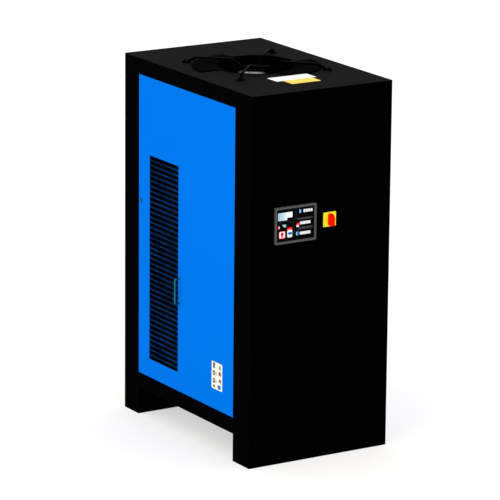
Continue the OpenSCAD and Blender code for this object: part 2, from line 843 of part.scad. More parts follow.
module drain_line() {
  tube_turn = -110;
  color(steel) {
    run([[60, exch_y, exch_z0 - 118], [60, exch_y, drain_z], [valve_x - 26, exch_y, drain_z]], 9);
    bar([valve_x + 26, exch_y, drain_z], [unit_x - 35, exch_y, drain_z], 9);
    run([
      [unit_x, exch_y + 35, tube_z], [unit_x, tube_turn, tube_z], [tube_x, tube_turn, tube_z],
      [tube_x, y_rear - 20, tube_z]
    ], 5);
  }
}

module drain_valve() {
  color("#c9a24a") translate([valve_x, exch_y, drain_z]) difference() {
    union() {
      rotate([0, 90, 0]) cylinder(h = 52, r = 14, center = true);
      sphere(19);
      cylinder(h = 24, r = 9);
    }
    translate([0, 0, 4]) cylinder(h = 30, r = 4 + run_gap);
  }
}

// Lever with a raised, cranked grip, on the valve's stem
module drain_lever() {
  color("#d0342c") translate([valve_x, exch_y, drain_z]) {
    translate([0, 0, 8]) cylinder(h = 24, r = 4);
    translate([0, 0, 24.5]) linear_extrude(3) {
      circle(10);
      translate([0, -6]) square([40, 12]);
    }
    translate([38, -6, 24.5]) rotate([0, -20, 0]) cube([22, 12, 3]);
    translate([57, -8, 31.5]) cube([32, 16, 5]);
  }
}

// Timer-operated drain with its test button on top
module drain_unit() {
  color("#34363a") difference() {
    union() {
      span([unit_x - 35, exch_y - 35, 195], [unit_x + 35, exch_y + 35, 275]);
      translate([unit_x, exch_y, 274]) linear_extrude(14) rounded(56, 56, 6);
    }
    translate([unit_x, exch_y, 276]) cylinder(h = 20, r = 6 + run_gap);
  }
}

module drain_button() {
  color("#2f6fd0") translate([unit_x, exch_y, 280]) cylinder(h = 12, r = 6);
}

module drain_outlet() {
  color(steel) translate([tube_x, y_rear - 20, tube_z]) rotate([-90, 0, 0]) difference() {
    union() {
      cylinder(h = 20 + rear_out, r = 7.5);
      translate([0, 0, 20]) cylinder(h = 7, r = 14, $fn = 6);
    }
    translate([0, 0, -4 + rear_out]) cylinder(h = 30, r = 4.3);
  }
}

// ---------------------------------------------------------------- plates

module caution_plate() {
  color("#fef7f1") translate([2, plate_y - 38, cab_h]) linear_extrude(0.6) rounded(192, 76, 3);
}

module notice_plate() {
  color("#ffc850") translate([6, plate_y - 111.5, cab_h]) linear_extrude(0.6) rounded(140, 69, 3);
}

module symbol_plate() {
  color("#f2efe6") sideways(-x_side - 0.6, -x_side) translate([-255.5, 332]) rounded(83, 116, 6);
}

base_frame();
front_cover();
rear_cover();
top_cover();
side_panel_left();
side_panel_right();
panel_handle_left();
panel_handle_right();
panel_lock_left();
panel_lock_right();
lock_keepers();
cover_screws();
fan_ring();
fan_guard();
guard_wires();
guard_bolts();
fan_motor();
fan_rotor();
controller_bezel();
controller_overlay();
controller_case();
display_window();
key_upper();
key_lower();
switch_plate();
switch_handle();
switch_body();
electrical_plate();
contactor();
terminal_rail();
cable_gland();
compressor();
compressor_mounts();
terminal_cover();
condenser_core();
condenser_bends();
condenser_frame();
heat_exchanger();
exchanger_stand();
separator();
air_inlet_pipe();
air_outlet_pipe();
air_inlet_port();
air_outlet_port();
receiver();
filter_drier();
hot_gas_valve();
pressure_switch();
discharge_line();
liquid_line();
suction_line();
drain_line();
drain_valve();
drain_lever();
drain_unit();
drain_button();
drain_outlet();
caution_plate();
notice_plate();
symbol_plate();
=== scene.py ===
import math

import bmesh
import bpy
import numpy as np
from mathutils import Matrix, Vector


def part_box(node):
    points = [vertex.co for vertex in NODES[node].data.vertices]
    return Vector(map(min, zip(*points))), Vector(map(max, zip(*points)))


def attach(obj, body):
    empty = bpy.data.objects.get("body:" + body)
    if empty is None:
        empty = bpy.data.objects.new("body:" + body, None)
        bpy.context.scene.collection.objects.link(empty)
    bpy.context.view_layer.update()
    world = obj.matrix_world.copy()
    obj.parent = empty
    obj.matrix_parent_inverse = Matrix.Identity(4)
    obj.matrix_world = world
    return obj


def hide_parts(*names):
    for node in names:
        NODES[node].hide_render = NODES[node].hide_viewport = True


bl_info = {
    "name": "Refrigerated Air Dryer",
    "version": (1, 0, 0),
    "blender": (4, 5, 0),
    "location": "3D View > Sidebar > Air Dryer",
    "description": "Dresses the dryer's frame with finishes, printed films and fine detail",
    "category": "Object",
}

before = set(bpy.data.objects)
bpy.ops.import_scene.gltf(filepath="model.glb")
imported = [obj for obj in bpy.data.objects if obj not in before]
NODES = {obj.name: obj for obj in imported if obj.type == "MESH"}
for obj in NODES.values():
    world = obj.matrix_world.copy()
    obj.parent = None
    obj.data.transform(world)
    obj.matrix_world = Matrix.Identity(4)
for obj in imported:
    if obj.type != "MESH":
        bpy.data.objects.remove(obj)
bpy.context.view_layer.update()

TAU = 2 * math.pi
MM = 0.001
ROOT = "cabinet"
# Warm grey laid on upward faces: a dusting, and on the top sheet also a painted sheen.
DUST_AND_SHEEN = (0.3, 0.29, 0.27, 1)
BARE_METAL = 0.7                    # how metallic a surface is where its paint has worn off
WORN_RADIUS = 1.5 * MM              # how far from an edge the paint wears
INK_STEP = 0.15 * MM                # from one layer of ink to the next
# The left panel's slots from edge to edge, along Y and up Z
SLOT_FIELD = {"Y": (0.0635, 0.3005), "Z": (0.2685, 1.1585)}


# ---------------------------------------------------------------- settings

def colour_prop(name, description, default):
    """A colour setting shown as a swatch."""
    return bpy.props.FloatVectorProperty(
        name=name, description=description, default=default, size=3, min=0.0, max=1.0, subtype="COLOR"
    )


class DRYER_PG_paints(bpy.types.PropertyGroup):
    """Colours of the painted and moulded surfaces."""

    cabinet: colour_prop("Cabinet", "Powder coat of the posts, band and base", (0.0002, 0.0002, 0.0002))
    top: colour_prop("Top sheet", "Powder coat of the top cover", (0.0002, 0.0002, 0.0002))
    panel: colour_prop("Side panels", "Blue powder coat", (0.0, 0.168, 0.75))
    bezel: colour_prop("Bezel", "Controller bezel", (0.05, 0.05, 0.053))
    overlay: colour_prop("Overlay", "Controller film", (0.0004, 0.0004, 0.0006))
    switch_plate: colour_prop("Switch plate", "Yellow plate of the main switch", (0.88, 0.88, 0.018))
    switch_grip: colour_prop("Switch grip", "Red handle of the main switch", (1.0, 0.0012, 0.0003))
    rubber: colour_prop("Rubber", "Compressor mounts", (0.012, 0.012, 0.012))


class DRYER_PG_view(bpy.types.PropertyGroup):
    """Camera and studio."""

    azimuth: bpy.props.FloatProperty(
        name="Azimuth", description="Direction the camera looks from", default=math.radians(-31.888), subtype="ANGLE"
    )
    elevation: bpy.props.FloatProperty(
        name="Elevation", description="Camera's height over the horizon", default=math.radians(14.485), subtype="ANGLE"
    )
    roll: bpy.props.FloatProperty(
        name="Roll", description="Turn of the camera about its own axis", default=math.radians(0.544), subtype="ANGLE"
    )
    distance: bpy.props.FloatProperty(
        name="Distance", description="From the cabinet's middle to the camera", default=15.361, min=1.0, unit="LENGTH"
    )
    lens: bpy.props.FloatProperty(
        name="Lens", description="Focal length for a 36 mm sensor", default=262.7, min=10.0, unit="CAMERA"
    )
    studio: bpy.props.FloatProperty(
        name="Studio light", description="Strength of the white surroundings", default=1.06, min=0.0
    )


# ---------------------------------------------------------------- node groups

class Tree:
    """A small helper round a node tree: adds nodes, sets sockets and links them."""

    def __init__(self, tree):
        self.tree = tree

    def node(self, kind, **sockets):
        """A node of this kind. Keys with a lower-case first letter set properties, others sockets."""
        made = self.tree.nodes.new("ShaderNode" + kind)
        for key, value in sockets.items():
            if key[0].islower():
                setattr(made, key, value)
            else:
                self.put(made.inputs[key.replace("_", " ")], value)
        return made

    def put(self, socket, value):
        """Links an output to the socket, or sets the socket's own value."""
        if isinstance(value, bpy.types.NodeSocket):
            self.tree.links.new(value, socket)
        else:
            socket.default_value = value

    def maths(self, operation, a, b=0.0, clamp=False):
        """One Math node, and its output."""
        made = self.tree.nodes.new("ShaderNodeMath")
        made.operation = operation
        made.use_clamp = clamp
        self.put(made.inputs[0], a)
        self.put(made.inputs[1], b)
        return made.outputs[0]

    def ramp(self, value, low, high):
        """A smooth step of value from low to high."""
        made = self.node("MapRange", interpolation_type="SMOOTHSTEP")
        self.put(made.inputs["Value"], value)
        self.put(made.inputs["From Min"], low)
        self.put(made.inputs["From Max"], high)
        return made.outputs["Result"]

    def mix(self, share, a, b):
        """A colour between a and b."""
        made = self.tree.nodes.new("ShaderNodeMix")
        made.data_type = "RGBA"
        self.put(made.inputs[0], share)
        self.put(made.inputs[6], a)
        self.put(made.inputs[7], b)
        return made.outputs[2]

    def noise(self, vector, scale, detail=3.0, rough=0.55):
        """A noise texture's value."""
        made = self.node("TexNoise", Vector=vector, Scale=scale, Detail=detail, Roughness=rough)
        return made.outputs["Fac"]

    def scaled(self, colour, by):
        """The colour times a factor."""
        made = self.node("VectorMath", operation="SCALE", Scale=by)
        self.put(made.inputs[0], colour)
        return made.outputs[0]

    def swing(self, value, amount):
        """How far value lies from a half, times amount."""
        return self.maths("MULTIPLY", self.maths("SUBTRACT", value, 0.5), amount)


def new_group(name, inputs, outputs):
    """An empty node group with named float, colour and vector sockets. Returns (Tree, in, out)."""
    group = bpy.data.node_groups.new(name, "ShaderNodeTree")
    for socket, kind, default in inputs:
        made = group.interface.new_socket(name=socket, in_out="INPUT", socket_type="NodeSocket" + kind)
        if default is not None:
            made.default_value = default
    for socket, kind in outputs:
        group.interface.new_socket(name=socket, in_out="OUTPUT", socket_type="NodeSocket" + kind)
    start = group.nodes.new("NodeGroupInput")
    end = group.nodes.new("NodeGroupOutput")
    return Tree(group), start.outputs, end.inputs


def coat_group():
    """Powder coat: fine orange-peel height, slow patches of gloss and shade, and a warm grey on upward faces, a light
    dusting that on the top sheet is also a painted sheen.
    """
    t, given, out = new_group(
        "powder_coat",
        [("Vector", "Vector", None), ("Colour", "Color", (0.5, 0.5, 0.5, 1)), ("Grain", "Float", 900.0),
         ("Roughness", "Float", 0.5), ("Shade", "Float", 0.1), ("Dust", "Float", 0.1)],
        [("Colour", "Color"), ("Roughness", "Float"), ("Height", "Float")],
    )
    peel = t.noise(given["Vector"], given["Grain"], 2.0, 0.6)
    patch = t.noise(given["Vector"], 3.1, 4.0, 0.6)
    smear = t.noise(given["Vector"], 17.0, 5.0, 0.65)
    up = t.node("SeparateXYZ", Vector=t.node("NewGeometry").outputs["Normal"]).outputs["Z"]
    # Upward faces mix towards the warm grey: a dusting, and on the black top sheet also a painted sheen for the light
    # it catches.
    patchiness = t.maths("ADD", 0.6, t.maths("MULTIPLY", t.ramp(smear, 0.3, 0.8), 0.4))
    dust_sheen_share = t.maths("MULTIPLY", t.maths("MULTIPLY", t.ramp(up, 0.75, 0.98), patchiness), given["Dust"])
    bright = t.maths("ADD", 1.0, t.maths("ADD", t.swing(patch, given["Shade"]), t.swing(peel, given["Shade"])))
    t.put(out["Colour"], t.mix(dust_sheen_share, t.scaled(given["Colour"], bright), DUST_AND_SHEEN))
    rough = t.maths("ADD", given["Roughness"], t.swing(smear, 0.22))
    t.put(out["Roughness"], t.maths("ADD", rough, t.maths("MULTIPLY", dust_sheen_share, 0.4), clamp=True))
    t.put(out["Height"], t.maths("ADD", peel, t.maths("MULTIPLY", patch, 0.3)))


def wear_group():
    """Worn edges: where a rounded normal leaves the true one, broken up by noise."""
    t, given, out = new_group(
        "edge_wear",
        [("Vector", "Vector", None), ("Radius", "Float", 0.002), ("Amount", "Float", 0.5)],
        [("Mask", "Float")],
    )
    soft = t.node("Bevel", samples=4, Radius=given["Radius"])
    true = t.node("NewGeometry").outputs["True Normal"]
    turn = t.node("VectorMath", operation="DOT_PRODUCT")
    t.put(turn.inputs[0], soft.outputs["Normal"])
    t.put(turn.inputs[1], true)
    edge = t.ramp(turn.outputs["Value"], 0.985, 0.80)
    broken_up = t.ramp(t.noise(given["Vector"], 60.0, 6.0, 0.7), 0.42, 0.62)
    t.put(out["Mask"], t.maths("MULTIPLY", t.maths("MULTIPLY", edge, broken_up), given["Amount"], clamp=True))


def brush_group():
    """Drawn metal: streaks stretched along one axis, with slow tarnish."""
    t, given, out = new_group(
        "brushed",
        [("Vector", "Vector", None), ("Stretch", "Vector", (400.0, 400.0, 12.0)),
         ("Colour", "Color", (0.6, 0.6, 0.6, 1)), ("Roughness", "Float", 0.3), ("Tarnish", "Float", 0.3)],
        [("Colour", "Color"), ("Roughness", "Float"), ("Height", "Float")],
    )
    stretched = t.node("VectorMath", operation="MULTIPLY")
    t.put(stretched.inputs[0], given["Vector"])
    t.put(stretched.inputs[1], given["Stretch"])
    streak = t.noise(stretched.outputs[0], 1.0, 3.0, 0.6)
    cloud = t.noise(given["Vector"], 24.0, 5.0, 0.65)
    dull = t.maths("MULTIPLY", t.ramp(cloud, 0.4, 0.75), given["Tarnish"])
    t.put(out["Colour"], t.mix(dull, given["Colour"], t.scaled(given["Colour"], 0.45)))
    rough = t.maths("ADD", given["Roughness"], t.swing(streak, 0.25))
    t.put(out["Roughness"], t.maths("ADD", rough, t.maths("MULTIPLY", dull, 0.3), clamp=True))
    t.put(out["Height"], streak)


def mould_group():
    """Moulded plastic: spark-eroded grain, faint flow marks and handling marks in the gloss."""
    t, given, out = new_group(
        "moulded",
        [("Vector", "Vector", None), ("Colour", "Color", (0.5, 0.5, 0.5, 1)), ("Grain", "Float", 1400.0),
         ("Roughness", "Float", 0.4), ("Flow", "Float", 0.08)],
        [("Colour", "Color"), ("Roughness", "Float"), ("Height", "Float")],
    )
    cell = t.node("TexVoronoi", Vector=given["Vector"], Scale=given["Grain"])
    flow = t.noise(given["Vector"], 14.0, 3.0, 0.5)
    marks = t.noise(given["Vector"], 70.0, 6.0, 0.7)
    bright = t.maths("ADD", 1.0, t.swing(flow, given["Flow"]))
    t.put(out["Colour"], t.scaled(given["Colour"], bright))
    t.put(out["Roughness"], t.maths("ADD", given["Roughness"], t.swing(marks, 0.3)))
    t.put(out["Height"], cell.outputs["Distance"])


# ---------------------------------------------------------------- materials

class Finish:
    """A material with its Principled shader, object coordinates and a bump fed by a height."""

    def __init__(self, name, **sockets):
        self.material = bpy.data.materials.new(name)
        self.material.use_nodes = True
        self.t = Tree(self.material.node_tree)
        self.shader = self.material.node_tree.nodes["Principled BSDF"]
        self.where = self.t.node("TexCoord").outputs["Object"]
        for key, value in sockets.items():
            self.t.put(self.shader.inputs[key.replace("_", " ")], value)

    def place(self, group, **sockets):
        """Puts a node group into the material and returns its outputs."""
        made = self.t.tree.nodes.new("ShaderNodeGroup")
        made.node_tree = bpy.data.node_groups[group]
        self.t.put(made.inputs["Vector"], self.where)
        for key, value in sockets.items():
            self.t.put(made.inputs[key], value)
        return made.outputs

    def surface(self, outputs, bump, distance):
        """Feeds the shader from a group's colour, roughness and height."""
        self.t.put(self.shader.inputs["Base Color"], outputs["Colour"])
        self.t.put(self.shader.inputs["Roughness"], outputs["Roughness"])
        self.bump(outputs["Height"], bump, distance)

    def bump(self, height, strength, distance):
        """A Bump node that feeds the shader's normal."""
        made = self.t.node("Bump", Strength=strength, Distance=distance, Height=height)
        self.t.put(self.shader.inputs["Normal"], made.outputs["Normal"])

    def worn(self, colour, bare, amount):
        """Lets bare metal show through at the edges."""
        mask = self.place("edge_wear", Radius=WORN_RADIUS, Amount=amount)["Mask"]
        self.t.put(self.shader.inputs["Base Color"], self.t.mix(mask, colour, (*bare, 1)))
        self.t.put(self.shader.inputs["Metallic"], self.t.maths("MULTIPLY", mask, BARE_METAL))


def rgba(colour):
    """The colour as four values, fully opaque."""
    return (*colour[:3], 1.0)


def painted(name, colour, rough, grain=900.0, bump=0.12, shade=0.1, dust_and_sheen=0.1, wear=0.0, specular=0.5,
            bare=(0.2, 0.2, 0.21)):
    """Powder-coated or enamelled sheet."""
    f = Finish(name, Specular_IOR_Level=specular)
    out = f.place("powder_coat", Colour=rgba(colour), Grain=grain, Roughness=rough, Shade=shade, Dust=dust_and_sheen)
    f.surface(out, bump, 0.0004)
    if wear:
        f.worn(out["Colour"], bare, wear)
    return f.material


def metal(name, colour, rough, stretch=(300.0, 300.0, 14.0), tarnish=0.3, bump=0.08):
    """Plated, drawn or machined metal."""
    f = Finish(name, Metallic=1.0)
    out = f.place("brushed", Stretch=stretch, Colour=rgba(colour), Roughness=rough, Tarnish=tarnish)
    f.surface(out, bump, 0.0003)
    return f.material


def plastic(name, colour, rough, grain=1400.0, bump=0.1, flow=0.08, specular=0.5):
    """Moulded plastic, rubber or film."""
    f = Finish(name, Specular_IOR_Level=specular)
    f.surface(f.place("moulded", Colour=rgba(colour), Grain=grain, Roughness=rough, Flow=flow), bump, 0.0002)
    return f.material


def intake_panel(colour):
    """Blue powder coat, darkened nearly to black over the field of intake slots, a little less where a noise runs high.
    """
    f = Finish("panel_blue_intake", Specular_IOR_Level=0.001)
    out = f.place("powder_coat", Colour=rgba(colour), Grain=900.0, Roughness=0.5, Shade=0.04, Dust=0.0)
    f.surface(out, 0.05, 0.0004)
    split = f.t.node("SeparateXYZ", Vector=f.where)
    inside = [f.t.maths("MULTIPLY", f.t.ramp(split.outputs[axis], low - MM, low + MM),
                        f.t.ramp(split.outputs[axis], high + MM, high - MM))
              for axis, (low, high) in SLOT_FIELD.items()]
    field = f.t.maths("MULTIPLY", *inside)
    streak = f.t.ramp(f.t.noise(f.where, 16.0, 4.0, 0.6), 0.3, 0.8)
    # Darkens the blue nearly to black across the slot field, so the webs between the slots come out dark.
    slot_darkening = f.t.maths("MULTIPLY", field, f.t.maths("SUBTRACT", 0.93, f.t.maths("MULTIPLY", streak, 0.2)))
    f.t.put(f.shader.inputs["Base Color"], f.t.mix(slot_darkening, out["Colour"], (0.0, 0.003, 0.008, 1)))
    return f.material


def collar_with_painted_highlight():
    """Fan ring: black sheet with a painted highlight, a pale grey band on the collar's wall on the side towards the
    front.
    """
    f = Finish("fan_collar", Specular_IOR_Level=0.0)
    out = f.place("powder_coat", Colour=(0.0002, 0.0002, 0.0002, 1), Grain=700.0, Roughness=0.45, Shade=0.1, Dust=0.013)
    f.surface(out, 0.12, 0.0004)
    split = f.t.node("SeparateXYZ", Vector=f.where)
    x, y, z = (split.outputs[axis] for axis in "XYZ")
    foot, rim, fade = 1.562, 1.5685, 2 * MM        # the painted highlight's edges up the collar, and how softly it ends
    # Painted highlight: a patch on the front of the collar, bounded across x, towards the front in y and up the wall in
    # z.
    run = f.t.maths("MULTIPLY", f.t.ramp(x, -0.150, -0.115), f.t.ramp(x, -0.048, -0.084))
    band = f.t.maths("MULTIPLY", f.t.ramp(z, foot, foot + fade), f.t.ramp(z, rim, rim - fade))
    painted_highlight = f.t.maths("MULTIPLY", f.t.maths("MULTIPLY", run, f.t.ramp(y, -0.075, -0.095)), band)
    broken_up = f.t.maths("MULTIPLY", painted_highlight, f.t.ramp(f.t.noise(f.where, 90.0, 4.0, 0.6), 0.2, 0.5), clamp=True)
    # Painted highlight: the black turns pale grey in that patch, broken up by noise, for a glint on the collar's near
    # wall.
    f.t.put(f.shader.inputs["Base Color"], f.t.mix(broken_up, out["Colour"], (0.42, 0.42, 0.46, 1)))
    return f.material


def coil_fins():
    """Coated condenser fins: thin upright lines across the block's ribs, dusted between them."""
    f = Finish("coated_fins", Specular_IOR_Level=0.05)
    wave = f.t.node("TexWave", wave_type="BANDS", bands_direction="Y", Vector=f.where, Scale=260.0, Distortion=0.4)
    lint = f.t.ramp(f.t.noise(f.where, 30.0, 5.0, 0.7), 0.45, 0.8)
    colour = f.t.mix(wave.outputs["Fac"], (0.001, 0.001, 0.0012, 1), (0.006, 0.0062, 0.007, 1))
    f.t.put(f.shader.inputs["Base Color"], f.t.mix(f.t.maths("MULTIPLY", lint, 0.1), colour, (0.05, 0.046, 0.04, 1)))
    f.t.put(f.shader.inputs["Roughness"], f.t.maths("ADD", 0.5, f.t.maths("MULTIPLY", lint, 0.3)))
    f.bump(wave.outputs["Fac"], 0.6, 0.001)
    return f.material


def foam():
    """Closed-cell insulation: pitted skin with soft dents."""
    f = Finish("insulation_foam", Specular_IOR_Level=0.2)
    cell = f.t.node("TexVoronoi", Vector=f.where, Scale=420.0)
    dent = f.t.noise(f.where, 9.0, 3.0, 0.5)
    colour = f.t.mix(dent, (0.012, 0.012, 0.013, 1), (0.03, 0.03, 0.032, 1))
    f.t.put(f.shader.inputs["Base Color"], colour)
    f.t.put(f.shader.inputs["Roughness"], f.t.maths("ADD", 0.78, f.t.maths("MULTIPLY", dent, 0.15)))
    height = f.t.maths("ADD", cell.outputs["Distance"], f.t.maths("MULTIPLY", dent, 3.0))
    f.bump(height, 0.5, 0.001)
    return f.material


def display_film():
    """Lit display: pale blue backlight, brighter to the right, with a faint dot grid."""
    f = Finish("display_film", Roughness=0.16, Coat_Weight=0.5, Emission_Strength=0.12)
    low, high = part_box("display_window")
    x = f.t.node("SeparateXYZ", Vector=f.where).outputs["X"]
    across = f.t.ramp(x, low.x, high.x)
    glow = f.t.mix(across, (0.28, 0.5, 0.6, 1), (0.85, 0.9, 0.93, 1))
    dots = f.t.node("TexBrick", Vector=f.where, Scale=520.0, Mortar_Size=0.03, Color1=(1, 1, 1, 1),
                    Color2=(0.96, 0.96, 0.96, 1), Mortar=(0.86, 0.88, 0.9, 1))
    lit = f.t.node("MixRGB", blend_type="MULTIPLY", Fac=1.0, Color1=glow, Color2=dots.outputs["Color"])
    f.t.put(f.shader.inputs["Base Color"], lit.outputs[0])
    f.t.put(f.shader.inputs["Emission Color"], lit.outputs[0])
    return f.material


def printed(name, colour):
    """Ink on film: even colour with a fine screen in the gloss."""
    return plastic(name, colour, 0.35, grain=2600.0, bump=0.03, flow=0.05, specular=0.1)


def make_materials(paints):
    """Every finish by name."""
    return {
        "cabinet": painted("cabinet_black", paints.cabinet, 0.55, shade=0.4, dust_and_sheen=0.001, wear=0.03, specular=0.002),
        # Top sheet: the warm grey on its upward faces is partly a dusting and partly a painted sheen for the light it
        # catches.
        "top": painted("top_black", paints.top, 0.6, grain=420.0, bump=0.35, shade=0.6, dust_and_sheen=0.031, wear=0.04,
                       specular=0.003),
        "panel": painted("panel_blue", paints.panel, 0.5, bump=0.05, shade=0.04, dust_and_sheen=0.0, wear=0.1, specular=0.001,
                         bare=(0.1, 0.2, 0.4)),
        "intake": intake_panel(paints.panel),
        "enamel": painted("black_enamel", (0.0002, 0.0002, 0.0002), 0.4, grain=200.0, bump=0.1, dust_and_sheen=0.0, wear=0.03,
                          specular=0.004),
        "wire": painted("wire_black", (0.0001, 0.0001, 0.0001), 0.5, grain=500.0, bump=0.1, dust_and_sheen=0.0, specular=0.001),
        "fan": painted("fan_black", (0.0003, 0.0003, 0.0003), 0.45, grain=700.0, dust_and_sheen=0.0, wear=0.03, specular=0.004),
        "collar": collar_with_painted_highlight(),
        "compressor": painted("compressor_black", (0.01, 0.01, 0.012), 0.26, grain=240.0, bump=0.2, wear=0.3),
        "blue_enamel": painted("drier_blue", (0.03, 0.13, 0.36), 0.25, grain=300.0, wear=0.4),
        "zinc": metal("zinc_plate", (0.55, 0.57, 0.6), 0.34),
        "chrome": metal("handle_chrome", (0.02, 0.2, 0.2), 0.22, tarnish=0.5, bump=0.03),
        "cast": metal("cast_port", (0.36, 0.37, 0.39), 0.45, stretch=(160.0, 160.0, 160.0), bump=0.3),
        "copper": metal("copper_tube", (0.72, 0.34, 0.2), 0.24, tarnish=0.6),
        "brass": metal("machined_brass", (0.72, 0.52, 0.2), 0.26, tarnish=0.45),
        "pipe": metal("steel_pipe", (0.3, 0.31, 0.33), 0.42, tarnish=0.7, stretch=(220.0, 16.0, 220.0)),
        "bezel": plastic("bezel_grey", paints.bezel, 0.5, specular=0.35),
        "overlay": plastic("overlay_black", paints.overlay, 0.3, grain=2200.0, bump=0.02, specular=0.02),
        "yellow": plastic("switch_yellow", paints.switch_plate, 0.42, specular=0.1),
        "red": plastic("switch_red", paints.switch_grip, 0.34, specular=0.04),
        "light": plastic("light_grey", (0.55, 0.55, 0.52), 0.45),
        "dark": plastic("dark_plastic", (0.012, 0.012, 0.014), 0.45),
        "rubber": plastic("mount_rubber", paints.rubber, 0.7, grain=600.0, bump=0.3, specular=0.25),
        "button": plastic("button_blue", (0.03, 0.17, 0.62), 0.3),
        "label_white": printed("label_white", (0.98, 0.94, 0.93)),
        "label_amber": printed("label_amber", (1.0, 0.66, 0.035)),
        "label_cream": printed("label_cream", (0.98, 0.92, 0.72)),
        "key": printed("key_white", (0.72, 0.75, 0.74)),
        "ink_red": printed("ink_red", (0.95, 0.004, 0.001)),
        "ink_pale": printed("ink_pale", (0.8, 0.86, 0.87)),
        "ink_blue": printed("ink_blue", (0.0, 0.156, 0.485)),
        "ink_sky": printed("ink_sky", (0.3, 0.62, 0.75)),
        "ink_grey": printed("ink_grey", (0.055, 0.05, 0.055)),
        "ink_teal": printed("ink_teal", (0.008, 0.05, 0.062)),
        "ink_dark": printed("ink_dark", (0.05, 0.09, 0.11)),
        "ink_rust": printed("ink_rust", (0.62, 0.10, 0.07)),
        "fins": coil_fins(),
        "foam": foam(),
        "display": display_film(),
    }


FINISH_OF = {
    "cabinet": ("base_frame", "front_cover", "rear_cover", "lock_keepers"),
    "top": ("top_cover",),
    "panel": ("side_panel_right",),
    "intake": ("side_panel_left",),
    "enamel": ("fan_guard", "guard_bolts", "cover_screws", "condenser_frame"),
    "wire": ("guard_wires",),
    "fan": ("fan_rotor",),
    "collar": ("fan_ring",),
    "compressor": ("compressor", "receiver"),
    "blue_enamel": ("filter_drier",),
    "zinc": ("electrical_plate", "exchanger_stand", "drain_line", "drain_outlet"),
    "chrome": ("panel_handle_left", "panel_handle_right", "panel_lock_left", "panel_lock_right"),
    "cast": ("air_inlet_port", "air_outlet_port"),
    "copper": ("condenser_bends", "discharge_line", "liquid_line", "suction_line"),
    "brass": ("hot_gas_valve", "drain_valve"),
    "pipe": ("air_inlet_pipe", "air_outlet_pipe"),
    "bezel": ("controller_bezel",),
    "overlay": ("controller_overlay",),
    "yellow": ("switch_plate",),
    "red": ("switch_handle", "drain_lever"),
    "light": ("switch_body", "contactor", "terminal_rail"),
    "dark": ("controller_case", "cable_gland", "terminal_cover", "pressure_switch", "drain_unit", "fan_motor"),
    "rubber": ("compressor_mounts",),
    "button": ("drain_button",),
    "label_white": ("caution_plate",),
    "label_amber": ("notice_plate",),
    "label_cream": ("symbol_plate",),
    "key": ("key_upper", "key_lower"),
    "fins": ("condenser_core",),
    "foam": ("heat_exchanger", "separator"),
    "display": ("display_window",),
}


# ---------------------------------------------------------------- surfaces

def grid_faces(rows, columns, close=False):
    """Quads of a grid of rows by columns points. close joins the last column to the first."""
    across = np.arange(columns if close else columns - 1)
    down = np.arange(rows - 1)[:, None] * columns
    after = (across + 1) % columns
    return np.stack([down + across, down + after, down + columns + after, down + columns + across], -1).reshape(-1, 4)


def join(parts):
    """One (points, faces) pair from several."""
    starts = np.cumsum([0] + [len(points) for points, _ in parts[:-1]])
    return (np.concatenate([points for points, _ in parts]),
            np.concatenate([faces + start for (_, faces), start in zip(parts, starts)]))


def close_poles(mesh):
    """Merges each row of points that has shrunk to one place, which closes poles and ends, and turns faces outwards."""
    work = bmesh.new()
    work.from_mesh(mesh)
    bmesh.ops.remove_doubles(work, verts=work.verts, dist=1e-7)
    bmesh.ops.recalc_face_normals(work, faces=work.faces)
    work.to_mesh(mesh)
    work.free()


def piece(name, surface, material, body=ROOT, stands_for=()):
    """Makes a mesh object from (points in metres, quads) that rides the given body."""
    points, faces = surface
    mesh = bpy.data.meshes.new(name)
    mesh.vertices.add(len(points))
    mesh.vertices.foreach_set("co", np.asarray(points, np.float32).ravel())
    mesh.loops.add(faces.size)
    mesh.loops.foreach_set("vertex_index", np.asarray(faces, np.int32).ravel())
    mesh.polygons.add(len(faces))
    mesh.polygons.foreach_set("loop_start", np.arange(0, faces.size, 4, dtype=np.int32))
    mesh.polygons.foreach_set("use_smooth", np.ones(len(faces), bool))
    mesh.update(calc_edges=True)
    close_poles(mesh)
    if mesh.validate():
        raise RuntimeError(f"{name}: the surface isn't valid")
    mesh.materials.append(bpy.data.materials[material])
    made = bpy.data.objects.new(name, mesh)
    bpy.context.scene.collection.objects.link(made)
    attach(made, body)
    if stands_for:
        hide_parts(*stands_for)
    return made


def lathe(profile, centre, axis=(0, 0, 1), steps=48, around=None):
    """Turns a profile of (radius, height) points about an axis through centre.

    A point's distance from the axis is the profile's radius times around(angle), which is 1 for a round piece.
    """
    profile = np.asarray(profile, float)
    axis = np.asarray(axis, float) / np.linalg.norm(axis)
    side = np.cross(axis, (0, 1, 0) if abs(axis[1]) < 0.9 else (1, 0, 0))
    side /= np.linalg.norm(side)
    front = np.cross(axis, side)
    angle = np.linspace(0, TAU, steps, endpoint=False)
    grow = np.ones(steps) if around is None else around(angle)
    ring = np.cos(angle)[:, None] * side + np.sin(angle)[:, None] * front
    points = (np.asarray(centre) + profile[:, None, 1:] * axis
              + profile[:, None, :1] * (ring * grow[:, None])[None])
    return points.reshape(-1, 3), grid_faces(len(profile), steps, close=True)


def hexagon(angle):
    """Distance to a regular hexagon's edge: cos 30 over the cosine of the angle from the nearest flat's middle."""
    sixth = TAU / 6
    return math.cos(sixth / 2) / np.cos(np.mod(angle, sixth) - sixth / 2)


